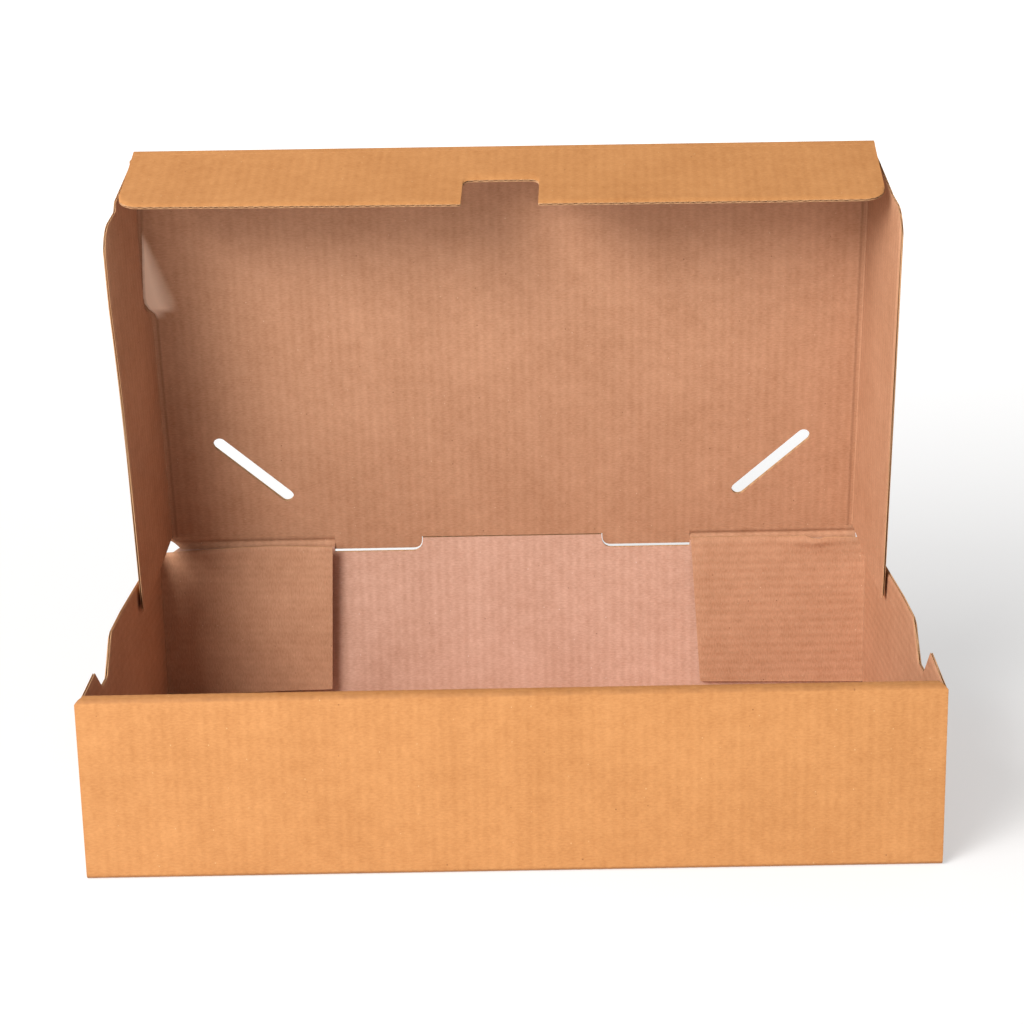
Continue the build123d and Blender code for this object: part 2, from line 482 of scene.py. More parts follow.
def closed_sheet(cells: Array) -> tuple[Array, Array, Array]:
    """Faces of a thin closed sheet: its top, its bottom, and a rim round the cells that exist.

    The bottom's points are numbered after the top's.

    Args:
        cells: Which cells of the grid exist.

    Returns:
        Top faces, bottom faces and rim faces, as rows of four point numbers.
    """
    rows, cols = cells.shape
    index = np.arange((rows + 1) * (cols + 1)).reshape(rows + 1, cols + 1)
    corners = [index[:-1, :-1], index[1:, :-1], index[1:, 1:], index[:-1, 1:]]
    top = np.stack([corner[cells] for corner in corners], axis=-1)
    bottom = top[:, ::-1] + index.size
    framed = np.pad(cells, 1)
    beside = [framed[1:-1, :-2], framed[2:, 1:-1], framed[1:-1, 2:], framed[:-2, 1:-1]]
    rims = []
    for k, neighbour in enumerate(beside):
        bare = cells & ~neighbour
        first, second = corners[k][bare], corners[(k + 1) % 4][bare]
        rims.append(np.stack([second, first, first + index.size, second + index.size], axis=-1))
    return top, bottom, np.concatenate(rims)


def faces_inward(surface: Array, outward: Array) -> bool:
    """Whether a grid's faces look away from its outer side.

    The sum of the faces' normals, each measured along the outward direction, tells.

    Args:
        surface: Grid of places.
        outward: Direction to the outer side at each of them.

    Returns:
        True where the faces have to be turned round.
    """
    normal = np.cross(np.diff(surface, axis=0)[:, :-1], np.diff(surface, axis=1)[:-1])
    return float(np.sum(normal * outward[:-1, :-1])) < 0


@dataclass
class Board:
    """One panel of fluted board: a grid across and along its flutes, and its place.

    The panel's UV map is its place on the flat blank, in metres, so the marks of the flutes
    and fibres follow the board round its folds.
    """

    name: str
    body: str
    across: Array
    along: Array
    place: Place
    blank: tuple[float, float]
    # Where the painted crease shade lies: the creases' positions, the distance they lie along, and
    # the shade's width.
    creases: tuple[float, ...] = ()
    crease_on_across: bool = False
    crease_width: float = 2.2
    inner: Face = Face.INNER
    cells: Array | None = None
    edge_gap: Array | None = None
    # Painted light: each point's share of a pale pool of light painted on the panel.
    painted_light: Array | None = None

    def mesh(self) -> bpy.types.Mesh:
        """Works out the three sheets and puts them into one mesh.

        Returns:
            The mesh, in metres, with its UV map, attributes of painted crease shade and painted
            light, and face finishes.
        """
        full = np.ones(np.subtract(self.across.shape, 1), bool)
        top, bottom, rim = closed_sheet(full if self.cells is None else self.cells)
        half = np.full_like(self.across, FLUTES.half)
        middle = self.place(self.across, self.along, np.zeros_like(half))
        outward = self.place(self.across, self.along, half) - middle
        pressed = 1.0 if self.edge_gap is None else FLUTES.pressed(self.edge_gap)
        layers, faces, finishes = [], [], []
        for upper, lower, above, below in FLUTES.sheets(self.across):
            first = len(layers) * self.across.size
            for off in (upper, lower):
                layers.append(self.place(self.across, self.along, off * pressed).reshape(-1, 3))
            for group, finish in ((top, above), (bottom, below), (rim, Face.RAW)):
                shown = self.inner if finish is Face.INNER else finish
                faces.append(group + first)
                finishes.append(np.full(len(group), shown.value))
        spots, faces = np.concatenate(layers), np.concatenate(faces)
        if faces_inward(middle, outward):
            faces = faces[:, ::-1]
        flat = np.stack([self.across + self.blank[0], self.along + self.blank[1]], axis=-1)
        flat = np.tile(flat.reshape(-1, 2), (len(layers), 1)) * MM
        measure = self.across if self.crease_on_across else self.along
        # Painted shade: a weight that peaks along each crease's middle, where the fold's shadow is
        # painted as a dark broken line.
        crease_shade = np.zeros_like(measure)
        for crease in self.creases:
            crease_shade = np.maximum(crease_shade, bell(measure, crease, self.crease_width))
        # Painted light, where a panel has a pale pool of light painted on.
        painted_light = np.zeros_like(measure) if self.painted_light is None else self.painted_light
        used, compact = np.unique(faces, return_inverse=True)
        marks = {
            mark: np.tile(painted_share.ravel(), len(layers))[used]
            for mark, painted_share in (("crease", crease_shade), ("painted_light", painted_light))
        }
        return filled_mesh(
            self.name, spots[used] * MM, compact.reshape(faces.shape), flat[used], marks,
            np.concatenate(finishes),
        )

    def build(self, finishes: Materials) -> bpy.types.Object:
        """Makes the panel's object, dresses it and lets it ride on its body.

        Args:
            finishes: Materials in the order of Face.

        Returns:
            The finished object.
        """
        piece = dressed(self.name, self.mesh(), finishes)
        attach(piece, self.body)
        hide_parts(self.body)
        return piece


def filled_mesh(
    name: str, spots: Array, faces: Array, flat: Array, marks: dict[str, Array], finishes: Array
) -> bpy.types.Mesh:
    """Puts whole arrays into a mesh of four-sided faces.

    Args:
        name: The mesh's name.
        spots: Places of the points, in metres.
        faces: Four point numbers a face.
        flat: Place of each point on the flat blank.
        marks: By attribute name, each point's share of its painted mark, the crease shade and
        the light, from nought to one.
        finishes: Material index of each face.

    Returns:
        The mesh, smooth but for its sharp edges.
    """
    mesh = bpy.data.meshes.new(name)
    count = len(faces)
    mesh.vertices.add(len(spots))
    mesh.vertices.foreach_set("co", spots.astype(np.float32).ravel())
    mesh.loops.add(count * 4)
    mesh.loops.foreach_set("vertex_index", faces.astype(np.int32).ravel())
    mesh.polygons.add(count)
    mesh.polygons.foreach_set("loop_start", np.arange(0, count * 4, 4, dtype=np.int32))
    mesh.polygons.foreach_set("material_index", finishes.astype(np.int32))
    layer = mesh.uv_layers.new(name="blank")
    layer.data.foreach_set("uv", flat[faces.ravel()].astype(np.float32).ravel())
    for mark, painted_share in marks.items():
        values = mesh.attributes.new(mark, "FLOAT", "POINT").data
        values.foreach_set("value", painted_share.astype(np.float32))
    mesh.update(calc_edges=True)
    mesh.validate()
    mesh.shade_smooth()
    mesh.set_sharp_from_angle(angle=math.radians(SHARP_DEG))
    return mesh


def dressed(name: str, mesh: bpy.types.Mesh, finishes: Materials) -> bpy.types.Object:
    """Makes an object of a mesh, with all of the board's finishes.

    Args:
        name: The piece's name.
        mesh: Its mesh.
        finishes: Materials in the order of Face.

    Returns:
        The object, in the scene.
    """
    piece = bpy.data.objects.new(name, mesh)
    for finish in finishes:
        mesh.materials.append(finish)
    bpy.context.scene.collection.objects.link(piece)
    return piece


def linear(colour: str) -> tuple[float, float, float, float]:
    """Turns an sRGB hex colour to linear light.

    Args:
        colour: Six hex digits after a hash.

    Returns:
        Red, green, blue and a full alpha.
    """
    parts = [int(colour[k : k + 2], 16) / 255 for k in (1, 3, 5)]
    low = [part / 12.92 if part <= 0.04045 else ((part + 0.055) / 1.055) ** 2.4 for part in parts]
    return (low[0], low[1], low[2], 1.0)


def add_node(
    tree: bpy.types.NodeTree,
    kind: str,
    settings: dict | None = None,
    inputs: dict | None = None,
    out: int | str = 0,
) -> Socket | None:
    """Adds one shader node, with its settings, its input values and its links.

    Args:
        tree: The node tree.
        kind: The node's type, less the words ShaderNode.
        settings: Attributes of the node.
        inputs: By socket name or number, a value or an output socket to link from.
        out: Name or number of the output that is wanted.

    Returns:
        That output socket, or None from the node that ends the tree.
    """
    node = tree.nodes.new("ShaderNode" + kind)
    for key, value in (settings or {}).items():
        setattr(node, key, value)
    for key, value in (inputs or {}).items():
        if isinstance(value, bpy.types.NodeSocket):
            tree.links.new(value, node.inputs[key])
        else:
            node.inputs[key].default_value = value
    return node.outputs[out] if node.outputs else None


@dataclass(frozen=True)
class Tree:
    """A material's node tree, with short ways to write its commonest nodes."""

    material: bpy.types.Material

    @classmethod
    def named(cls, name: str) -> "Tree":
        """An empty tree in a new material of this name."""
        material = bpy.data.materials.new(name)
        material.use_nodes = True
        material.node_tree.nodes.clear()
        return cls(material)

    def add(
        self,
        kind: str,
        settings: dict | None = None,
        inputs: dict | None = None,
        out: int | str = 0,
    ) -> Socket | None:
        """Adds one node to this tree, as add_node says."""
        return add_node(self.material.node_tree, kind, settings, inputs, out)

    def maths(self, operation: str, *values: Socket | float, clamp: bool = False) -> Socket:
        """One step of arithmetic on sockets and numbers."""
        settings = {"operation": operation, "use_clamp": clamp}
        return self.add("Math", settings, dict(enumerate(values)))

    def mix(self, share: Socket, first: Socket | tuple, second: Socket | tuple) -> Socket:
        """Two colours mixed: the share is that of the second one."""
        return self.add("Mix", {"data_type": "RGBA"}, {"Factor": share, 6: first, 7: second}, 2)

    def ramp(
        self, value: Socket, low: float, high: float, first: float = 0.0, last: float = 1.0
    ) -> Socket:
        """A straight rise from first, where the value is low, to last, where it is high."""
        ends = {"From Min": low, "From Max": high, "To Min": first, "To Max": last}
        return self.add("MapRange", None, {"Value": value, **ends})

    def scaled(self, place: Socket, scale: tuple[float, float, float]) -> Socket:
        """A place, scaled about the origin."""
        return self.add("Mapping", None, {"Vector": place, "Scale": scale})

    def close(self, inputs: dict) -> bpy.types.Material:
        """Ends the tree with one shader of these inputs, and hands over the material."""
        self.add("OutputMaterial", None, {"Surface": self.add("BsdfPrincipled", None, inputs)})
        return self.material


@dataclass(frozen=True)
class Grain:
    """Cloudy noise in the paper, about a half.

    It has a size across the flutes and one along them, in millimetres, a number of finer
    layers, and a weight in the paper's colour.
    """

    across: float
    along: float
    detail: float
    weight: float = 1.0

    def value(self, tree: Tree, ruler: Socket) -> Socket:
        """Works out the noise.

        Args:
            tree: The node tree.
            ruler: Place on the blank in millimetres.

        Returns:
            The noise's value, without its weight.
        """
        sized = tree.scaled(ruler, (1 / self.across, 1 / self.along, 1))
        inputs = {"Vector": sized, "Scale": 1.0, "Detail": self.detail}
        return tree.add("TexNoise", {"noise_dimensions": "2D"}, inputs)


@dataclass(frozen=True)
class Flecks:
    """Round flecks of foreign fibre, strewn in the paper: at most one to a cell.

    Sizes are in millimetres.  A cell has one if its random number is above the share kept
    bare, and the fleck is the larger the higher the number is.  Its soft edge runs between
    the two edges, which are shares of the largest radius.
    """

    cell: float
    radius: float
    bare: float
    inner_edge: float = 0.9
    outer_edge: float = -0.3

    def mask(self, tree: Tree, ruler: Socket) -> Socket:
        """Works out where the flecks are.

        Args:
            tree: The node tree.
            ruler: Place on the blank in millimetres.

        Returns:
            One inside a fleck, nought outside.
        """
        largest = self.radius / self.cell
        sized = tree.scaled(ruler, (1 / self.cell, 1 / self.cell, 1))
        distance = tree.add(
            "TexVoronoi", {"voronoi_dimensions": "2D"}, {"Vector": sized, "Scale": 1.0}, "Distance"
        )
        chance = tree.add("SeparateColor", None, {0: distance.node.outputs["Color"]})
        chosen = tree.ramp(chance, self.bare, 1.0, 0.0, largest)
        inside = tree.maths("SUBTRACT", chosen, distance)
        return tree.ramp(inside, self.outer_edge * largest, self.inner_edge * largest)


@dataclass(frozen=True)
class KraftLiner:
    """Brown kraft paper, machine-made and glued over the flutes.

    The eye sees a warm brown sheet with pale and dark fibre flecks, clouds where the pulp is
    thicker, and faint bands along the flutes, partly their own tone and partly painted shade
    of their ribs.  A dark broken line in each crease is painted shade, and a pale patch on
    the inner liner beside the lid's bowed crease is painted light.
    """

    name: str
    base: str
    shade: str
    glint: str
    speck: str
    # Strength of the flute bands, partly the flutes' tone and partly painted shade of the ribs.
    flute: float = 0.09
    # Colour of the painted light beside the lid's bowed crease, where a liner has it.
    painted_light_colour: str | None = None
    clouds: Grain = Grain(24.0, 30.0, 3.0, 0.45)
    blotches: Grain = Grain(5.5, 4.5, 3.0, 0.45)
    streaks: Grain = Grain(1.7, 46.0, 2.0, 0.1)
    fibres: Grain = Grain(1.5, 0.55, 5.0, 0.8)
    bands: Grain = Grain(6.0, 2.4, 2.0)
    glints: Flecks = Flecks(6.1, 0.22, 0.72)
    specks: Flecks = Flecks(11.0, 0.3, 0.7)
    # Painted shade along the creases: its strength, and the crease weights where it starts and is
    # full.
    crease: float = 0.7
    crease_shade_from: float = 0.9
    crease_shade_full: float = 0.99
    smoothest: float = 0.6
    roughened: float = 0.25
    relief: float = 0.35
    relief_depth: float = 0.0002
    ior: float = 1.47
    gloss: float = 0.3

    def material(self) -> bpy.types.Material:
        """Builds the material.

        Each noise, less a half, is added by its weight to a half, and so are the bands of the
        flutes, partly painted shade.  The sum mixes the shade with the base colour.  Flecks,
        the painted light beside the lid's bowed crease and the painted shade along the creases
        come on top.

        Returns:
            The material, whose patterns are all in millimetres on the flat blank.
        """
        tree = Tree.named(self.name)
        ruler = tree.scaled(tree.add("UVMap", {"uv_map": "blank"}), (1 / MM, 1 / MM, 1))
        grains = (self.clouds, self.blotches, self.streaks, self.fibres)
        values = [grain.value(tree, ruler) for grain in grains]
        _, blotches, _, fibres = values
        depth = (1 - sum(grain.weight for grain in grains)) / 2
        for grain, value in zip(grains, values):
            depth = tree.maths("MULTIPLY_ADD", value, grain.weight, depth)
        # Bands at the flutes' pitch: partly the flutes' own tone, partly painted shade of their
        # ribs.
        across = tree.add("SeparateXYZ", None, {0: ruler})
        wave = tree.maths("COSINE", tree.maths("MULTIPLY", across, 2 * math.pi / FLUTES.pitch))
        bands = tree.maths("MULTIPLY", wave, self.bands.value(tree, ruler))
        depth = tree.maths("MULTIPLY_ADD", bands, self.flute, depth, clamp=True)
        colour = tree.mix(depth, linear(self.shade), linear(self.base))
        for flecks, tint in ((self.glints, self.glint), (self.specks, self.speck)):
            colour = tree.mix(flecks.mask(tree, ruler), colour, linear(tint))
        # Painted light: a pale pool of light painted on the inner liner beside the lid's bowed
        # crease.
        if self.painted_light_colour:
            painted_light = tree.add("Attribute", {"attribute_name": "painted_light"}, None, "Fac")
            colour = tree.mix(painted_light, colour, linear(self.painted_light_colour))
        # Painted shade: a dark broken line along the middle of each crease, where the fold's shadow
        # falls.
        crease_shade = tree.add("Attribute", {"attribute_name": "crease"}, None, "Fac")
        pressed = tree.ramp(crease_shade, self.crease_shade_from, self.crease_shade_full, 0.0, self.crease)
        colour = tree.mix(tree.maths("MULTIPLY", pressed, blotches), colour, linear(self.speck))
        bump = {"Strength": self.relief, "Distance": self.relief_depth, "Height": fibres}
        return tree.close({
            "Base Color": colour,
            "Roughness": tree.maths("MULTIPLY_ADD", fibres, self.roughened, self.smoothest),
            "Normal": tree.add("Bump", None, bump),
            "IOR": self.ior,
            "Specular IOR Level": self.gloss,
        })


@dataclass(frozen=True)
class RawPaper:
    """Cut edge and fluted medium: rougher recycled paper, sawn through by the die.

    The eye sees a dull brown with fine torn fibres, and dark hollows between the flutes.  The
    fibres' size is in millimetres.
    """

    name: str = "recycled_fluting_cut"
    base: str = "#D8AE84"
    shade: str = "#B5835A"
    fibre: float = 0.45
    detail: float = 4.0
    roughness: float = 0.9
    relief: float = 0.5
    relief_depth: float = 0.0001
    gloss: float = 0.2

    def material(self) -> bpy.types.Material:
        """Builds the material.

        Returns:
            The material, with fibres of a fixed size in millimetres.
        """
        tree = Tree.named(self.name)
        place = tree.add("TexCoord", out="Object")
        inputs = {"Vector": place, "Scale": 1 / (MM * self.fibre), "Detail": self.detail}
        fibres = tree.add("TexNoise", None, inputs)
        bump = {"Strength": self.relief, "Distance": self.relief_depth, "Height": fibres}
        return tree.close({
            "Base Color": tree.mix(fibres, linear(self.shade), linear(self.base)),
            "Roughness": self.roughness,
            "Normal": tree.add("Bump", None, bump),
            "Specular IOR Level": self.gloss,
        })


@dataclass(frozen=True)
class LightTable:
    """Milk-white acrylic light table, sanded matt: an even white with no gloss.

    It is lit from below, so the box's shadow on it is faint.  Behind the box it glows more, and
    fades to white as the photo's background does.  Distances behind the box are in metres.
    """

    name: str = "opal_acrylic"
    base: str = "#BCBBBA"
    near: float = 0.1
    far: float = 1.6
    near_glow: float = 0.46
    far_glow: float = 0.86
    roughness: float = 0.95
    gloss: float = 0.1

    def material(self) -> bpy.types.Material:
        """Builds the material, whose glow rises straight from near to far behind the box.

        Returns:
            The material.
        """
        tree = Tree.named(self.name)
        place = tree.add("TexCoord", out="Object")
        behind = tree.add("SeparateXYZ", None, {0: place}, "Y")
        return tree.close({
            "Base Color": linear(self.base),
            "Roughness": self.roughness,
            "Specular IOR Level": self.gloss,
            "Emission Color": linear("#FFFFFF"),
            "Emission Strength": tree.ramp(
                behind, self.near, self.far, self.near_glow, self.far_glow
            ),
        })


class Panels:
    """A part of the box that is all boards."""

    def boards(self) -> list[Board]:
        """Its boards, in order; each part lists its own."""
        raise NotImplementedError

    def build(self, finishes: Materials) -> Pieces:
        """Builds and dresses every board.

        Args:
            finishes: Materials in the order of Face.

        Returns:
            The finished pieces.
        """
        return [board.build(finishes) for board in self.boards()]


@dataclass(frozen=True)
class SideLie:
    """How one side of the used tray differs from its drawing, in millimetres."""

    peak_rise: float
    corner_rise: float
    stand_off: float
    slant: float
    sink: float
    foot_drop: float
    crumple: float


LIES = {
    Side.LEFT: SideLie(-1.4, 1.0, 5.0, 2.4, 3.6, 0.0, 0.0),
    Side.RIGHT: SideLie(0.6, 2.4, 0.25, 3.8, 1.2, 1.0, 1.0),
}


@dataclass
class Tray(Panels):
    """The tray's panels: rolled front, base and back wall, side walls and dust flaps.

    The base is parted near its front, at seam_y, where the board of the front wall goes on.
    front_short is how much the roll's right end falls short.  The hump and the hollow in the
    crumpled top edge of a rear dust flap, and the dent below, are each a size, a place and a
    width, and dent_height is the dent's place and width up the flap.
    """

    front_short: float = 0.8
    tongue_width: float = 24.0
    tongue_spacing: float = 130.0
    front_drop: float = 3.0
    peak_from_front: float = 30.0
    notch_from_front: float = 40.5
    notch_floor: float = 9.5
    notch_depth: float = 9.8
    notch_run: float = 12.0
    shoulder_rise: float = 2.4
    crest_from_front: float = 84.0
    crest_rise: float = 3.3
    rear_rise: float = 2.6
    notch_radius: float = 4.0
    peak_radius: float = 0.5
    crest_radius: float = 24.0
    rear_flap: float = 70.0
    rear_flap_foot: float = 7.6
    rear_flap_crest: float = 25.0
    front_flap: float = 72.0
    seam_y: float = 78.0
    row_step: float = 30.0
    base_row_step: float = 80.0
    edge_rows: int = 10
    wall_stops: int = 26
    flap_stops: int = 24
    hump: tuple[float, float, float] = (0.6, 114.0, 2.2)
    hollow: tuple[float, float, float] = (0.9, 119.0, 3.0)
    dent: tuple[float, float, float] = (1.2, 118.0, 7.0)
    dent_height: tuple[float, float] = (63.5, 1.8)

    def boards(self) -> list[Board]:
        """The front wall, the base with the back wall, then the walls and flaps by side."""
        boards = [self.front_wall(), self.base_and_back()]
        for side in Side:
            boards.append(self.side_wall(side))
            boards.append(self.rear_flap_board(side))
            boards.append(self.front_flap_board(side))
        return boards

    def front_wall(self) -> Board:
        """Front wall: up from the base, rolled over at the top and down again inside.

        Past the roll's ends only the outer layer goes on, and its top corner is cut off.

        Returns:
            The panel, with its flutes upright.
        """
        low, top = FLUTES.half, BOX.wall_height - FLUTES.half
        corners = [
            (-self.seam_y, low), (-BOX.wall_y, low), (-BOX.wall_y, top), (BOX.roll_y, top),
            (BOX.roll_y, BOX.layer_gap),
        ]
        fold = Fold(corners, [BOX.bend, BOX.tight_bend, BOX.tight_bend])
        rolled = BOX.inner_half - BOX.layer_gap
        tongues = [
            self.tongue_spacing / 2 + end.value * self.tongue_width / 2 for end in Side
        ]
        jumps = [-rolled, *mirrored([BOX.fold_x, *tongues])]
        steps = flute_steps(-BOX.half_width, BOX.half_width - self.front_short, jumps)
        wide = np.abs(steps) + np.where(steps > 0, self.front_short, 0.0)
        in_tongue = np.abs(np.abs(steps) - self.tongue_spacing / 2) < self.tongue_width / 2
        end = np.where(in_tongue, fold.length, fold.length - BOX.board)
        slope = np.clip((BOX.half_width - wide) / (BOX.half_width - rolled), 0, 1)
        crest = fold.bends[1] + BOX.tight_bend * (slope - 0.5) * math.pi / 2
        high = np.where(wide > rolled, crest, end)
        under_wall = np.abs(steps) > BOX.fold_x
        first = np.where(under_wall, BOX.fold_end - self.seam_y, 0.0)
        across, along, cells = trimmed(steps, fold.rows(self.row_step), first, high)
        return Board(
            "front_wall", "tray", across, along, fold.along_x, (0, 0), tuple(fold.bends),
            cells=cells,
        )

    def base_and_back(self) -> Board:
        """Base and back wall, whose top edge has the hinge strips and the tab between the cuts.

        Returns:
            The panel, with its flutes running from the front to the back and up.
        """
        low, tab = FLUTES.half, BOX.tab_width / 2
        tab_top = BOX.hinge_z + BOX.tab_rise
        strip_top = BOX.hinge_z - BOX.crease_half
        strip_start = BOX.cut_outer + BOX.crease_clear
        fold = Fold([(-self.seam_y, low), (BOX.wall_y, low), (BOX.wall_y, tab_top)], [BOX.bend], -1)
        wall_start = fold.length - tab_top
        outline = [
            (0, tab_top), (tab, tab_top), (tab, BOX.wall_height), (BOX.half_width, BOX.wall_height)
        ]
        edge = edge_line(outline, [0, BOX.tab_foot])
        jumps = mirrored([tab, strip_start, BOX.lid_half, BOX.fold_x])
        steps = flute_steps(-BOX.half_width, BOX.half_width, jumps)
        wide = np.abs(steps)
        chamfer = (strip_top - BOX.wall_height) * BOX.chamfered(steps)
        in_strip = (wide > strip_start) & (wide < BOX.lid_half)
        top = np.where(in_strip, strip_top - chamfer, edge(wide))
        first = np.where(wide > BOX.fold_x, self.seam_y + BOX.fold_end, 0.0)
        upper_rows = wall_start + np.linspace(BOX.wall_height - 1, tab_top, self.edge_rows)
        rows = np.unique(np.concatenate([fold.rows(self.base_row_step), upper_rows]))
        across, along, cells = trimmed(steps, rows, first, wall_start + top)
        return Board(
            "base_and_back_wall", "tray", across, along, fold.along_x, (0, 200),
            tuple(fold.bends), inner=Face.PALE, cells=cells,
        )

    def side_wall(self, side: Side) -> Board:
        """Side wall, bent up from the base, with the thumb notch in its top edge.

        Args:
            side: Left or right.

        Returns:
            The panel, with its flutes level.
        """
        peak = BOX.wall_height + self.crest_rise
        corners = [(BOX.fold_x, FLUTES.half), (BOX.wall_x, FLUTES.half), (BOX.wall_x, peak)]
        fold = Fold(corners, [BOX.bend], -1)
        front, height, ends = -BOX.depth / 2, BOX.wall_height, BOX.fold_end
        notch = front + self.notch_from_front
        outline = [
            (-BOX.flap_y - FLUTES.half, height - self.front_drop),
            (front + self.peak_from_front, height + LIES[side].peak_rise),
            (notch, height - self.notch_depth),
            (notch + self.notch_floor, height - self.notch_depth),
            (notch + self.notch_floor + self.notch_run, height + self.shoulder_rise),
            (front + self.crest_from_front, height + self.crest_rise),
            (BOX.flap_y + FLUTES.half, height + self.rear_rise),
        ]
        radii = [self.peak_radius, *[self.notch_radius] * 3, self.crest_radius]
        edge = edge_line(outline, radii)
        bends = bend_corners(outline, radii)[0][:, 0]
        even = np.linspace(-ends, ends, self.wall_stops)
        stops = np.unique(np.clip(np.concatenate([bends, even]), -ends, ends))
        stops = stops[np.concatenate([[True], np.diff(stops) > NEAREST])]
        rows = np.linspace(0, 1, FLUTES.rows_in(peak))
        reach = fold.length - peak + edge(stops)
        across = rows[:, None] * reach[None]
        along = np.broadcast_to(stops[None], across.shape).copy()

        def place(a: Array, b: Array, off: Array) -> Array:
            """Carries the profile, bent up from the base, along Y."""
            x, z = fold.at(a, off)
            return np.stack([side.value * x, b, z], axis=-1)

        return Board(
            f"side_wall_{side.word}", "tray", across, along, place, (SIDE_BLANK * side.value, 0),
            tuple(fold.bends), True, edge_gap=reach[None] - across,
        )

    def rear_flap_board(self, side: Side) -> Board:
        """Rear dust flap: round the corner from the side wall, in front of the back wall.

        It stands off the back wall by the square of the distance from the corner, and its top
        edge is crumpled by bell curves.

        Args:
            side: Left or right.

        Returns:
            The panel, with its flutes level.
        """
        lie = LIES[side]
        crest = BOX.hinge_z - FLUTES.half - BOX.layer_gap
        corners = [
            (BOX.wall_x, BOX.fold_end), (BOX.wall_x, BOX.flap_y), (self.rear_flap, BOX.flap_y)
        ]
        fold = Fold(corners, [BOX.bend], -1)
        outline = [
            (self.rear_flap, crest),
            (self.rear_flap + self.rear_flap_crest, crest),
            (BOX.half_width, BOX.wall_height + lie.corner_rise),
        ]
        edge = edge_line(outline, [self.rear_flap_crest])
        bend_end = fold.stops[BEND_STEPS + 1]
        flat_stops = np.linspace(bend_end, fold.length, self.flap_stops)
        stops = np.unique(np.concatenate([fold.stops, flat_stops]))
        rows = np.linspace(0, 1, FLUTES.rows_in(crest))[:, None]
        share = np.clip((stops - bend_end) / (fold.length - bend_end), 0, 1)[None]
        along = stops[None] - lie.slant * (1 - rows) * share
        x = fold.at(along, np.zeros_like(along))[0]
        foot = self.rear_flap_foot - lie.sink * (1 - share) - lie.foot_drop
        hump = self.hump[0] * bell(x, *self.hump[1:])
        hollow = self.hollow[0] * bell(x, *self.hollow[1:])
        across = foot + rows * (edge(x) + lie.crumple * (hump - hollow) - foot)

        def place(a: Array, b: Array, off: Array) -> Array:
            """Carries the profile, bent round the corner, upwards."""
            x, y = fold.at(b, off)
            free = np.clip((BOX.wall_x - x) / (BOX.wall_x - self.rear_flap), 0, 1)
            dent = self.dent[0] * bell(x, *self.dent[1:]) * bell(a, *self.dent_height)
            return np.stack(
                [side.value * x, y - lie.stand_off * free**2 - lie.crumple * dent, a], axis=-1
            )

        gap = np.minimum(across[-1][None] - across, along[:, -1:] - along)
        return Board(
            f"rear_dust_flap_{side.word}", "tray", across, along, place,
            (SIDE_BLANK * side.value, 200), tuple(fold.bends), edge_gap=gap,
        )

    def front_flap_board(self, side: Side) -> Board:
        """Front dust flap: round the corner from the side wall, between the front's layers.

        Args:
            side: Left or right.

        Returns:
            The panel, with its flutes level.
        """
        corners = [
            (BOX.wall_x, -BOX.fold_end), (BOX.wall_x, -BOX.flap_y), (self.front_flap, -BOX.flap_y)
        ]
        fold = Fold(corners, [BOX.bend])
        foot, top = BOX.board + BOX.layer_gap, BOX.wall_height - self.front_drop
        rows = np.linspace(foot, top, FLUTES.rows_in(top))
        across, along = np.broadcast_arrays(rows[:, None], fold.rows(self.row_step)[None])

        def place(a: Array, b: Array, off: Array) -> Array:
            """Carries the profile, bent round the corner, upwards."""
            x, y = fold.at(b, off)
            return np.stack([side.value * x, y, a], axis=-1)

        return Board(
            f"front_dust_flap_{side.word}", "tray", across.copy(), along.copy(), place,
            (SIDE_BLANK * side.value, -200), tuple(fold.bends),
        )


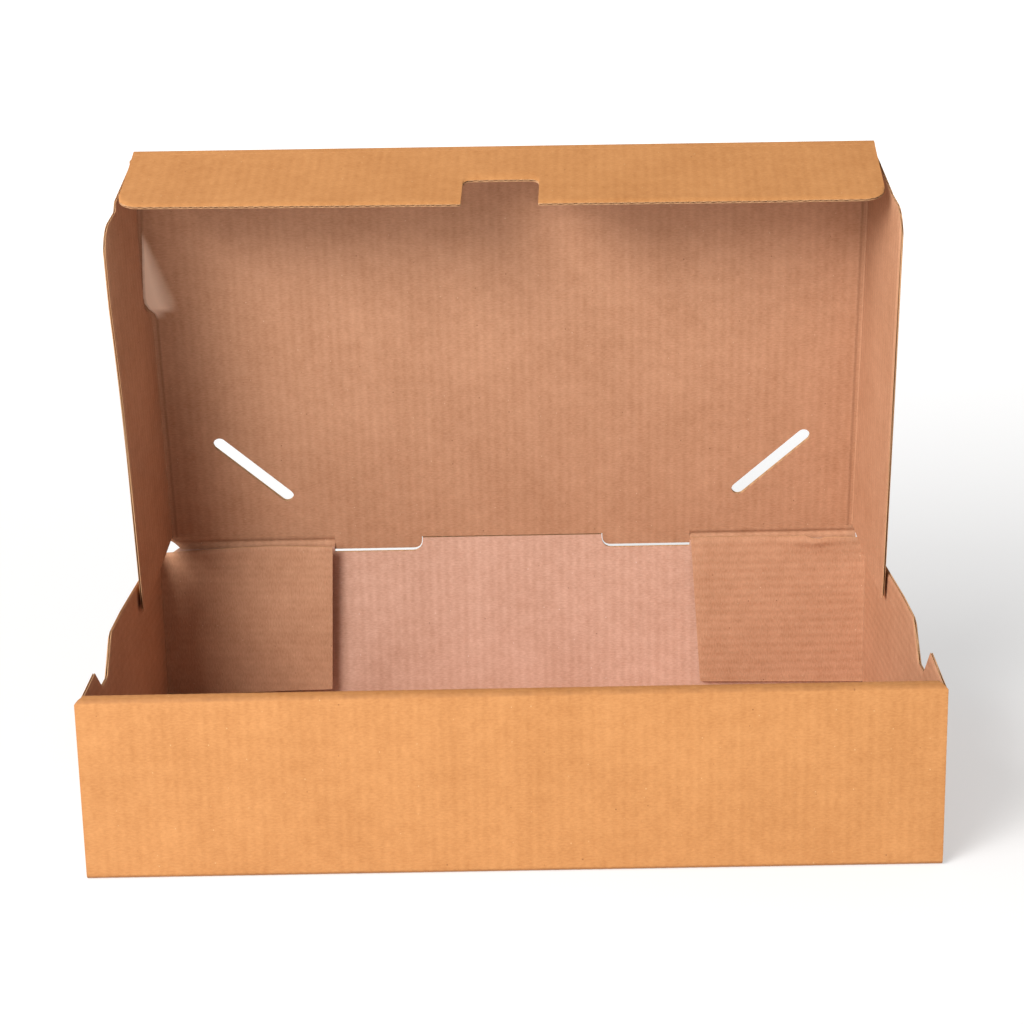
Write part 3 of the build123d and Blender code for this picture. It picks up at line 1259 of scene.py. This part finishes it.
@dataclass
class Lid(Panels):
    """The lid panel with its vents, and its two wings.

    The left crease is bent out of line by hand: bulge is how far, from bulge_start on, over
    bulge_width of the lid and the share bulge_depth of the wing.  Beside it a pale pool of
    light is painted on the inner liner, and it ends at painted_light_end.  The lid's board
    bows out by bow.  Rows are distances from the crease, and a run of them is its first, its
    last and their number.
    """

    wing_depth: float = 56.0
    wing_front_depth: float = 53.0
    wing_side_gap: float = 0.45
    wing_rear: float = 3.0
    wing_tuck_gap: float = 0.4
    nose_radius: float = 9.0
    step_depth: float = 37.0
    left_step: float = 2.6
    right_step: float = 0.2
    tuck_fold: float = 97.0
    vent_length: float = 38.6
    vent_width: float = 5.0
    vent_x: float = 99.4
    vent_rise: float = 32.6
    vent_shift: float = 1.1
    vent_drop: float = 1.0
    vent_left_share: float = 0.6
    vent_angle: float = 42.9
    notch_radius: float = 2.9
    panel_half: float = 131.4
    bow: float = 0.7
    bulge: float = 4.6
    bulge_start: float = 97.0
    bulge_onset: float = 4.5
    bulge_fade: float = 0.75
    bulge_length: float = 55.0
    bulge_width: float = 16.0
    bulge_depth: float = 0.25
    bulge_forward: float = 0.6
    # The pool of light painted beside the bowed crease: its width, its end, and how it tapers and
    # fades.
    painted_light_width: float = 9.0
    painted_light_end: float = 131.0
    painted_light_length: float = 28.0
    painted_light_taper: float = 0.8
    painted_light_blur: float = 1.0
    painted_light_spread: float = 0.5
    painted_light_slant: float = 0.4
    painted_light_rise: float = 2.0
    flare: float = 1.3
    flare_start: float = 55.0
    flare_length: float = 70.0
    notch_rows: tuple[float, int] = (3.5, 9)
    vent_rows: int = 5
    plain_rows: tuple[float, ...] = (7.0, 12.0)
    seam_run: tuple[float, float, int] = (96.0, 132.0, 15)
    seam_spots: tuple[float, ...] = (70.0, 88.0, 142.0)
    wing_foot_rows: int = 6
    nose_share: float = 0.08
    nose_rows: int = 5
    uncrushed: float = 3.0
    slot_steps: int = 161

    def boards(self) -> list[Board]:
        """The lid panel and its two wings."""
        return [self.panel(), self.wing(Side.LEFT), self.wing(Side.RIGHT)]

    def narrowed(self, x: Array, along: Array) -> Array:
        """Draws a position in towards the middle as the lid tapers away from its crease."""
        return x - np.clip(x / self.panel_half, -1, 1) * BOX.lid_taper * along / BOX.lid_reach

    def seam_rows(self) -> Array:
        """Rows that the panel and its wings share, close together where the crease bows."""
        return np.sort([*self.seam_spots, *np.linspace(*self.seam_run), BOX.lid_end])

    def bulged(self, along: Array) -> Array:
        """How far the left crease bows outward: steeply at its lower end, then dying away."""
        past = np.clip(along - self.bulge_start, 0, None)
        fade = 1 - self.bulge_fade * np.clip(past / self.bulge_length, 0, 1)
        return self.bulge * (1 - bell(past, 0, self.bulge_onset)) * fade

    def painted_light_share(self, across: Array, along: Array) -> Array:
        """Where painted light falls beside the bowed crease: a patch like a fin, wider below.

        Args:
            across: Positions across the lid.
            along: Distances from the lid's crease.

        Returns:
            One in the patch, nought outside, with soft edges.
        """
        inward = across + self.panel_half
        left = np.clip((self.painted_light_end - along) / self.painted_light_length, 0, 1)
        reach = self.painted_light_width * left**self.painted_light_taper
        blur = self.painted_light_blur + self.painted_light_spread * reach
        inside = np.clip((reach - inward) / blur, 0, 1)
        past = along - self.bulge_start - self.painted_light_slant * inward
        return inside * np.clip(past / self.painted_light_rise, 0, 1)

    def vent_edges(self, x: Array) -> tuple[Array, Array]:
        """Lower and upper edge of the slanting vents: straight slots with round ends.

        A slot is a circle carried up a slope, so its edges at a position are the lowest and
        the highest point of all its circles there.

        Args:
            x: Positions across the lid.

        Returns:
            Both edges as distances from the crease; they meet where there is no slot.
        """
        slope, radius = math.tan(math.radians(self.vent_angle)), self.vent_width / 2
        run = (self.vent_length / 2 - radius) * math.cos(math.radians(self.vent_angle))
        right = x > 0
        out = np.abs(x) - self.vent_x - self.vent_shift * right
        fall = self.vent_drop * (self.vent_left_share + (1 - self.vent_left_share) * right)
        spots = run * np.linspace(-1, 1, self.slot_steps)
        chord = radius**2 - (out[:, None] - spots[None]) ** 2
        inside, half = chord > 0, np.sqrt(np.clip(chord, 0, None))
        low = np.where(inside, spots * slope - half, np.inf).min(axis=1)
        high = np.where(inside, spots * slope + half, -np.inf).max(axis=1)
        line = np.clip(out, -run, run) * slope
        slot, middle = inside.any(axis=1), self.vent_rise - fall
        return middle + np.where(slot, low, line), middle + np.where(slot, high, line)

    def panel(self) -> Board:
        """Flat lid panel, with the two cuts and the notch over the back wall's tab.

        Returns:
            The panel, with its flutes running up the lid.
        """
        tab, drop = BOX.tab_width / 2 + BOX.tab_gap, -BOX.lid_cut_drop
        edge = edge_line(
            [(0, BOX.tab_top_gap), (tab, BOX.tab_top_gap), (tab, drop), (BOX.lid_half, drop)],
            [0, self.notch_radius],
        )
        steps = flute_steps(-self.panel_half, self.panel_half, mirrored([tab, BOX.cut_outer]))
        wide = np.abs(steps)
        low = np.where(wide > BOX.cut_outer, BOX.crease_half, edge(wide))
        vent_low, vent_high = self.vent_edges(steps)
        below = np.concatenate([np.linspace(drop, *self.notch_rows), self.plain_rows])
        rising = np.linspace(0, 1, self.vent_rows)[1:]
        seam = self.seam_rows()
        along = np.stack([
            *[np.clip(np.full_like(steps, row), low, None) for row in below],
            *[below[-1] + part * (vent_low - below[-1]) for part in rising],
            *[vent_high + part * (seam[0] - vent_high) for part in (0, 0.5)],
            *[np.full_like(steps, row) for row in seam],
        ])
        across = np.broadcast_to(steps[None], along.shape).copy()
        cells = cells_left(steps, along)
        # This row lies between the vents' two edges, which meet where there is no vent.
        cells[len(below) + len(rising) - 1] = False

        def place(a: Array, b: Array, off: Array) -> Array:
            """Lays the panel in the lid's plane, with a slight bow, and leans it."""
            risen = np.clip(b / BOX.lid_end, 0, 1)
            bow = np.cos(np.pi * a / (2 * self.panel_half)) * np.sin(np.pi * risen)
            near = np.clip((-a - self.panel_half + self.bulge_width) / self.bulge_width, 0, 1) ** 2
            bulge = near * self.bulged(b)
            off = off + self.bow * bow - self.bulge_forward * bulge
            return BOX.lean(self.narrowed(a, b) - bulge, off, b)

        # The panel carries a pale pool of light painted beside its bowed left crease.
        return Board(
            "lid_panel", "lid", across, along, place, (0, 500),
            (-self.panel_half, self.panel_half), True, cells=cells,
            painted_light=self.painted_light_share(across, along),
        )

    def wing(self, side: Side) -> Board:
        """Wing: bent forward from the lid's side, with a rounded nose behind the tuck flap.

        Args:
            side: Left or right.

        Returns:
            The panel, with its flutes running up the lid's side.
        """
        spread = BOX.inner_half - self.wing_side_gap - BOX.lid_half
        flare = math.asin(spread / self.wing_depth)
        corner = BOX.lid_half - FLUTES.half
        deep = self.wing_depth - FLUTES.half
        tip = (corner + deep * math.sin(flare), -deep * math.cos(flare))
        fold = Fold([(self.panel_half, 0), (corner, 0), tip], [BOX.bend])
        start = fold.length - self.wing_depth
        slope = math.tan(math.radians(self.tuck_fold - 90))
        back = BOX.tuck_axis - FLUTES.half - self.wing_tuck_gap
        step = self.left_step if side is Side.LEFT else self.right_step
        before, after = self.step_depth / 3, self.step_depth - step
        step_reach = back - self.step_depth * slope - step
        nose = edge_line(
            [
                (0, BOX.lid_end),
                (before, back - before * slope),
                (after, back - after * slope),
                (self.step_depth, step_reach),
                (self.wing_depth, step_reach),
            ],
            [0, step / 2, step / 2],
        )
        steps = flute_steps(0, fold.length)
        depth = steps - start
        radius = self.nose_radius
        past = np.clip(depth - self.wing_depth + radius, 0, radius)
        rounding = radius - np.sqrt(np.clip(radius**2 - past**2, 0, None))
        high = nose(np.clip(depth, 0, None)) - rounding
        low = np.where(depth < 0, BOX.crease_half, self.wing_rear)
        seam = (self.seam_rows() - BOX.crease_half) / (BOX.lid_end - BOX.crease_half)
        foot = np.linspace(0, seam[0], self.wing_foot_rows)
        end = 1 - np.linspace(0, self.nose_share, self.nose_rows)
        stops = np.unique(np.concatenate([foot, seam, end]))
        along = low[None] + stops[:, None] * (high - low)[None]
        lost = (self.wing_depth - self.wing_front_depth) * along / BOX.lid_reach
        across = steps[None] - lost * np.clip(depth / self.wing_depth, 0, 1)[None]

        def place(a: Array, b: Array, off: Array) -> Array:
            """Carries the profile, bent forward at the lid's side, up the lid."""
            x, out = fold.at(a, off)
            if side is Side.LEFT:
                deep = np.clip((a - start) / self.wing_depth, 0, 1)
                bulge = np.clip(1 - deep / self.bulge_depth, 0, 1) ** 2 * self.bulged(b)
                risen = np.clip((b - self.flare_start) / self.flare_length, 0, 1)
                x = x + bulge + self.flare * np.sqrt(deep) * risen**2
                out = out - self.bulge_forward * bulge
            return BOX.lean(side.value * (x - BOX.lid_taper * b / BOX.lid_reach), out, b)

        from_top = along[-1][None] - along + self.uncrushed * (depth < self.uncrushed)
        return Board(
            f"wing_{side.word}", "lid", across, along, place,
            (SIDE_BLANK * side.value, 500), (0.0,), True,
            edge_gap=np.minimum(from_top, across[:, -1:] - across),
        )


@dataclass
class TuckFlap(Panels):
    """The front tuck flap with its thumb notch, folded over the lid's front crease.

    It has been pulled to the left by drift, less so at the right by drift_fade.  Its free
    edge curls out by curl, times a square curve across the flap: a middle share, a slope and
    a bend.
    """

    fold: float = 97.0
    height: float = 43.2
    side_inset: float = 0.3
    taper: float = 1.2
    corner_radius: float = 8.0
    thumb_width: float = 26.3
    thumb_depth: float = 18.4
    thumb_radius: float = 3.0
    drift: float = 1.65
    drift_fade: float = 0.8
    curl: float = 2.0
    curl_share: float = 0.55
    curl_slope: float = -0.3
    curl_bend: float = 0.15
    lip_radius: float = 0.3
    plain_rows: tuple[float, int] = (24.0, 6)
    thumb_rows: tuple[float, int] = (24.6, 14)

    @property
    def half(self) -> float:
        """Half of the flap's width at its crease."""
        return BOX.lid_half - BOX.lid_taper - self.side_inset

    def hang(self, x: Array, down: Array, off: Array) -> Array:
        """Places a point of the flap: turned by the fold about its crease."""
        turn = math.radians(self.fold)
        along = BOX.tuck_axis + down * math.cos(turn) + off * math.sin(turn)
        return BOX.lean(x, off * math.cos(turn) - down * math.sin(turn), along)

    def boards(self) -> list[Board]:
        """The flap alone."""
        return [self.panel()]

    def panel(self) -> Board:
        """Flap panel, with rounded corners and the thumb notch in its free edge.

        Returns:
            The panel, with its flutes running down the flap.
        """
        free, thumb = self.half - self.taper, self.thumb_width / 2
        edge = edge_line(
            [
                (0, self.height - self.thumb_depth),
                (thumb, self.height - self.thumb_depth),
                (thumb, self.height),
                (free, self.height),
                (free, self.height - self.corner_radius),
            ],
            [self.thumb_radius, self.lip_radius, self.corner_radius],
        )
        steps = flute_steps(-free, free, [-thumb, thumb])
        high = edge(np.abs(steps))
        thumb_start, thumb_count = self.thumb_rows
        thumb_run = np.linspace(thumb_start, self.height, thumb_count)
        rows = np.concatenate([np.linspace(0, *self.plain_rows), thumb_run])
        across, along, cells = trimmed(steps, rows, np.zeros_like(steps), high)

        def place(a: Array, b: Array, off: Array) -> Array:
            """Lays the flap in its folded plane: wider at its crease, drawn left and curled.

            The drift grows down the flap and dies out to the right.  The curl grows as the
            square of the way down, most at the left.
            """
            down = b / self.height
            side = np.clip(a / free, -1, 1)
            drift = self.drift * down * (1 - self.drift_fade * np.clip(side, 0, 1))
            share = self.curl_share + self.curl_slope * side + self.curl_bend * side**2
            curl = self.curl * down**2 * share
            return self.hang(a * (1 + self.taper / free * (1 - down)) - drift, b, off + curl)

        return Board(
            "tuck_flap_panel", "tuck_flap", across, along, place, (0, 700), cells=cells,
            edge_gap=high[None] - along,
        )


@dataclass
class Creases:
    """Pressed paper that joins the lid to the back wall, and the tuck flap to the lid.

    hinge_blank and tuck_blank are the creases' places up the flat blank, and the two skins
    are how far a strip's face stands off the board beside it.  Rows of a hinge strip that
    its cut corner takes away are pressed together by squeeze.
    """

    paper: float = 0.25
    reach: float = 2.6
    pinch: float = 0.45
    pinch_reach: float = 0.9
    corner_cut: float = 4.4
    hinge_rows: int = 15
    hinge_skin: float = 0.02
    tuck_skin: float = 0.03
    side_clear: float = 0.2
    squeeze: float = 50.0
    row_step: float = 1.0
    hinge_blank: float = 267.0
    tuck_blank: float = 660.0

    def build(self, finishes: Materials) -> Pieces:
        """Builds the crease strips, bent round the lid's crease and the tuck flap's crease.

        Args:
            finishes: Materials in the order of Face.

        Returns:
            The finished pieces.
        """
        return [*[self.hinge_strip(side, finishes) for side in Side], self.tuck_strip(finishes)]

    def hinge_strip(self, side: Side, finishes: Materials) -> bpy.types.Object:
        """Strip of board pressed thin along the lid's crease, on one side of the tab.

        Its thickness is the board's, less a bell curve about the crease, and it turns evenly
        from upright to the lid's lean.

        Args:
            side: Left or right.
            finishes: Materials in the order of Face.

        Returns:
            The finished piece.
        """
        steps = flute_steps(BOX.cut_outer + BOX.crease_clear, BOX.lid_half - self.side_clear)
        rows = np.linspace(-self.reach, self.reach, self.hinge_rows)[:, None]
        cut = self.corner_cut * BOX.chamfered(side.value * steps)[None]
        along = np.maximum(rows, rows / self.squeeze - self.reach + cut)
        across = side.value * np.broadcast_to(steps[None], along.shape)
        thick = FLUTES.half + self.hinge_skin - self.pinch * bell(along, 0, self.pinch_reach)
        turn = math.radians(BOX.lid_lean)
        lean = turn * np.clip(along / self.reach + 0.5, 0, 1)

        def place(off: Array) -> Array:
            """Turns a row by the lean it has reached, about the crease."""
            y = BOX.wall_y + off * np.cos(lean) - along * np.sin(lean)
            z = BOX.hinge_z + off * np.sin(lean) + along * np.cos(lean)
            return np.stack([across, y, z], axis=-1)

        blank = np.stack([across, along + self.hinge_blank], axis=-1)
        name = f"hinge_crease_{side.word}"
        piece = strip_piece(name, place(thick), place(-thick), blank, finishes)
        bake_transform(piece)
        return piece

    def tuck_strip(self, finishes: Materials) -> bpy.types.Object:
        """Outer paper that runs from the lid over its front crease on to the tuck flap.

        Args:
            finishes: Materials in the order of Face.

        Returns:
            The finished piece.
        """
        flap = TuckFlap()
        turn = math.radians(flap.fold)
        skin = FLUTES.half + self.tuck_skin
        outer = skin * math.tan(turn / 2)
        corner = (BOX.tuck_axis + outer, skin)
        length = outer + self.reach
        end = (corner[0] + length * math.cos(turn), corner[1] - length * math.sin(turn))
        fold = Fold([(BOX.tuck_axis - self.reach, skin), corner, end], [skin])
        steps = flute_steps(-flap.half, flap.half)
        across, along = np.broadcast_arrays(steps[None], fold.rows(self.row_step)[:, None])

        def place(off: float) -> Array:
            """Carries the bent profile along X, in the lid's plane."""
            s, out = fold.at(along, np.full(along.shape, off))
            return BOX.lean(across, out, s)

        blank = np.stack([across, along + self.tuck_blank], axis=-1)
        piece = strip_piece("tuck_crease", place(0.0), place(-self.paper), blank, finishes)
        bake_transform(piece)
        return piece


def strip_piece(
    name: str, upper: Array, lower: Array, blank: Array, finishes: Materials
) -> bpy.types.Object:
    """Makes a closed strip between an upper and a lower grid of places.

    Args:
        name: The piece's name.
        upper: Grid of the outer face, in millimetres.
        lower: Grid of the inner face, in millimetres.
        blank: Place of each grid point on the flat blank, in millimetres.
        finishes: Materials in the order of Face.

    Returns:
        The dressed object.
    """
    groups = closed_sheet(np.ones((upper.shape[0] - 1, upper.shape[1] - 1), bool))
    faces = np.concatenate(groups)
    if faces_inward(upper, upper - lower):
        faces = faces[:, ::-1]
    shown = [Face.OUTER.value, Face.INNER.value, Face.RAW.value]
    finish = np.repeat(shown, [len(group) for group in groups])
    spots = np.concatenate([upper.reshape(-1, 3), lower.reshape(-1, 3)]) * MM
    flat = np.tile(blank.reshape(-1, 2), (2, 1)) * MM
    return dressed(name, filled_mesh(name, spots, faces, flat, {}, finish), finishes)


def hung_lamp(name: str, data: bpy.types.Light, spot: Vector, ahead: Vector) -> bpy.types.Object:
    """Puts a lamp into the scene.

    Args:
        name: The lamp's name.
        data: Its light.
        spot: Where it hangs, in metres.
        ahead: The way it shines.

    Returns:
        The lamp's object.
    """
    lamp = bpy.data.objects.new(name, data)
    turn = ahead.to_track_quat("-Z", "Y").to_matrix().to_4x4()
    lamp.matrix_world = Matrix.Translation(spot) @ turn
    bpy.context.scene.collection.objects.link(lamp)
    return lamp


@dataclass(frozen=True)
class SoftBox:
    """A round soft box: where it hangs and what it looks at, in metres, its size and power."""

    name: str
    spot: tuple[float, float, float]
    target: tuple[float, float, float]
    size: float
    power: float

    def build(self) -> bpy.types.Object:
        """Makes the lamp.

        Returns:
            The lamp's object.
        """
        data = bpy.data.lights.new(self.name, "AREA")
        data.shape = "DISK"
        data.size = self.size
        data.energy = self.power
        spot = Vector(self.spot)
        return hung_lamp(self.name, data, spot, Vector(self.target) - spot)


@dataclass(frozen=True)
class Window:
    """Even light from one direction, as wide as a window seen from the box, in radians."""

    name: str
    source: tuple[float, float, float]
    strength: float
    angle: float

    def build(self) -> bpy.types.Object:
        """Makes the lamp.

        Returns:
            The lamp's object.
        """
        data = bpy.data.lights.new(self.name, "SUN")
        data.energy = self.strength
        data.angle = self.angle
        return hung_lamp(self.name, data, Vector(), -Vector(self.source))


@dataclass(frozen=True)
class Studio:
    """Camera, floor and light.

    The camera is the photo's own, found from the box's corners: angles are in radians.
    """

    focal_px: float = 2188.446
    frame_px: float = 1024.0
    sensor_mm: float = 36.0
    yaw: float = -0.00625
    pitch: float = 0.25972
    roll: float = -0.01997
    eye_mm: tuple[float, float, float] = (5.3205, -744.300, 297.086)
    nearest: float = 0.01
    floor_half: float = 15.0
    room: float = 0.39
    lamps: tuple[Window | SoftBox, ...] = (
        Window("window_left", (-1.0, -0.7, 0.8), 1.354, 0.5),
        Window("window_front", (-1.0, -1.6, 0.5), 1.013, 0.5),
        SoftBox("key", (-0.4935, -0.7896, 0.6722), (0.0, 0.0, 0.08), 0.5, 9.65),
    )

    def camera(self) -> bpy.types.Object:
        """Makes the camera: headings from yaw and pitch, then rolled about the line of sight.

        Returns:
            The camera, set as the scene's own.
        """
        data = bpy.data.cameras.new("camera")
        data.sensor_width = self.sensor_mm
        data.lens = self.focal_px * self.sensor_mm / self.frame_px
        data.clip_start = self.nearest
        level = Vector((math.cos(self.yaw), -math.sin(self.yaw), 0.0))
        forward = Vector((math.sin(self.yaw), math.cos(self.yaw), 0.0))
        ahead = math.cos(self.pitch) * forward - Vector((0.0, 0.0, math.sin(self.pitch)))
        upright = level.cross(ahead)
        right = math.cos(self.roll) * level + math.sin(self.roll) * upright
        above = -math.sin(self.roll) * level + math.cos(self.roll) * upright
        turn = Matrix((right, above, -ahead)).transposed().to_4x4()
        camera = bpy.data.objects.new("camera", data)
        camera.matrix_world = Matrix.Translation(Vector(self.eye_mm) * MM) @ turn
        bpy.context.scene.collection.objects.link(camera)
        bpy.context.scene.camera = camera
        return camera

    def floor(self) -> bpy.types.Object:
        """Makes the floor: one wide level face under the box.

        Returns:
            The floor's object.
        """
        half = self.floor_half
        corners = [(-half, -half, 0), (half, -half, 0), (half, half, 0), (-half, half, 0)]
        mesh = bpy.data.meshes.new("floor")
        mesh.from_pydata(corners, [], [(0, 1, 2, 3)])
        mesh.materials.append(LightTable().material())
        floor = bpy.data.objects.new("floor", mesh)
        bpy.context.scene.collection.objects.link(floor)
        return floor

    def light(self) -> None:
        """Lights the box: a pale room, two broad windows on the left and a soft box."""
        world = bpy.data.worlds.new("room")
        world.use_nodes = True
        background = world.node_tree.nodes["Background"]
        background.inputs["Color"].default_value = linear("#FFFFFF")
        background.inputs["Strength"].default_value = self.room
        bpy.context.scene.world = world
        for lamp in self.lamps:
            lamp.build()

    def build(self) -> None:
        """Makes the camera, the floor and the light, and shows colours as they are."""
        self.camera()
        self.floor()
        self.light()
        bpy.context.scene.view_settings.view_transform = "Standard"


FINISHES = {
    Face.OUTER: KraftLiner("kraft_liner_outer", "#C58B55", "#A66D3B", "#D4AC7B", "#7B4D28"),
    # The inner liner has the colour of the painted light beside the lid's bowed crease.
    Face.INNER: KraftLiner(
        "kraft_liner_inner", "#C89777", "#A27252", "#DBBDA0", "#734C32",
        flute=0.12, painted_light_colour="#FFE0C6",
    ),
    Face.RAW: RawPaper(),
    Face.PALE: KraftLiner(
        "kraft_liner_inner_pale", "#D5AA95", "#AD8068", "#E8D3C8", "#7A5740", flute=0.12
    ),
}


def main() -> None:
    """Builds the box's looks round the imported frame, then the studio."""
    logging.basicConfig(level=logging.INFO, format="%(name)s: %(message)s")
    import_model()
    finishes = [FINISHES[face].material() for face in Face]
    for part in (Tray(), Lid(), TuckFlap(), Creases()):
        for piece in part.build(finishes):
            LOG.info("%s: %d faces", piece.name, len(piece.data.polygons))
    Studio().build()


if __name__ == "__main__":
    main()
